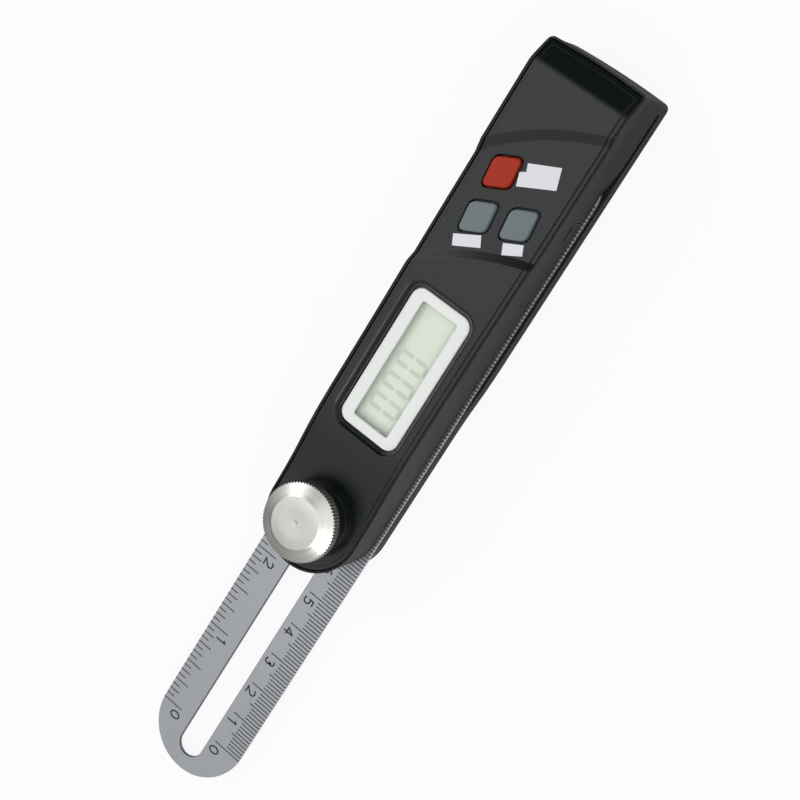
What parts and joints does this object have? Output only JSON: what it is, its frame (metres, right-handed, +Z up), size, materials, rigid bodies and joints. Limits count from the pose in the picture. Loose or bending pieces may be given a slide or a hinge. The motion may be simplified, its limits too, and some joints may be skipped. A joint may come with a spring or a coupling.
{
  "type": "digital angle finder with slotted blade",
  "caption": "Digital angle finder: a charcoal handle with display, buttons and battery tray, and a slotted, graduated steel blade that turns and slides under a knurled lock knob.",
  "frame": {"origin": "bottom centre of the bounding box with the blade in line with the handle, on the underside of the handle", "axes": "+X from the pivot along the handle to its far end, +Y towards the side of the inch scale, +Z up out of the display"},
  "size_m": [0.2114, 0.0284, 0.0273],
  "materials": {
    "housing": "fine-grained satin",
    "panel": "semi-gloss",
    "bezel": "silver-white satin",
    "lens": "clear polished",
    "lcd": "grey-green satin",
    "rubber_strip": "matte",
    "board": "solder-masked satin",
    "switch_case": "matte",
    "contact": "plated spring strip",
    "screw": "plated",
    "brass": "turned",
    "bolt": "plated, satin",
    "rotor": "satin",
    "blade": "satin, brushed along its length",
    "knob": "turned, satin",
    "cell": "plated",
    "red_rubber": "matte",
    "grey_rubber": "matte"
  },
  "bodies": {
    "handle": {"handle_body": "housing", "face_panel": "panel", "display_bezel": "bezel", "display_lens": "lens", "lcd_glass": "lcd", "lcd_connector_left": "rubber_strip", "lcd_connector_right": "rubber_strip", "main_board": "board", "sensor_board": "board", "pivot_bushing": "brass", "contact_upper": "contact", "contact_lower": "contact", "panel_screw_1": "screw", "panel_screw_2": "screw", "panel_screw_3": "screw", "panel_screw_4": "screw", "board_screw_1": "screw", "board_screw_2": "screw", "board_screw_3": "screw", "board_screw_4": "screw", "switch_power": "switch_case", "switch_hold": "switch_case", "switch_mode": "switch_case"},
    "carrier": {"clamp_bolt": "bolt", "encoder_rotor": "rotor"},
    "blade": {"blade": "blade"},
    "washer": {"knob_washer": "screw"},
    "knob": {"lock_knob": "knob"},
    "power_key": {"button_power": "red_rubber"},
    "hold_key": {"button_hold": "grey_rubber"},
    "mode_key": {"button_mode": "grey_rubber"},
    "battery": {"battery_tray": "housing", "coin_cell": "cell"}
  },
  "joints": [
    {"name": "blade_pivot", "type": "hinge", "parent": "handle", "child": "carrier", "pos_m": [-0.02149, 0, 0], "axis": [0, 0, 1], "range_deg": [-165, 165]},
    {"name": "blade_slide", "type": "slide", "parent": "carrier", "child": "blade", "axis": [1, 0, 0], "range_m": [-0.1019, 0.0119]},
    {"name": "knob_lift", "type": "slide", "parent": "carrier", "child": "washer", "axis": [0, 0, 1], "range_m": [0, 0.0012]},
    {"name": "knob_turn", "type": "hinge", "parent": "washer", "child": "knob", "pos_m": [-0.02149, 0, 0], "axis": [0, 0, 1], "range_deg": [0, 540]},
    {"name": "power_press", "type": "slide", "parent": "handle", "child": "power_key", "axis": [0, 0, -1], "range_m": [0, 0.0008], "stiffness_N_per_m": 400},
    {"name": "hold_press", "type": "slide", "parent": "handle", "child": "hold_key", "axis": [0, 0, -1], "range_m": [0, 0.0008], "stiffness_N_per_m": 400},
    {"name": "mode_press", "type": "slide", "parent": "handle", "child": "mode_key", "axis": [0, 0, -1], "range_m": [0, 0.0008], "stiffness_N_per_m": 400},
    {"name": "battery_slide", "type": "slide", "parent": "handle", "child": "battery", "axis": [0, -1, 0], "range_m": [0, 0.024]}
  ],
  "couplings": [
    {"joint": "knob_turn", "follows": "knob_lift", "rad_per_m": 7853}
  ]
}
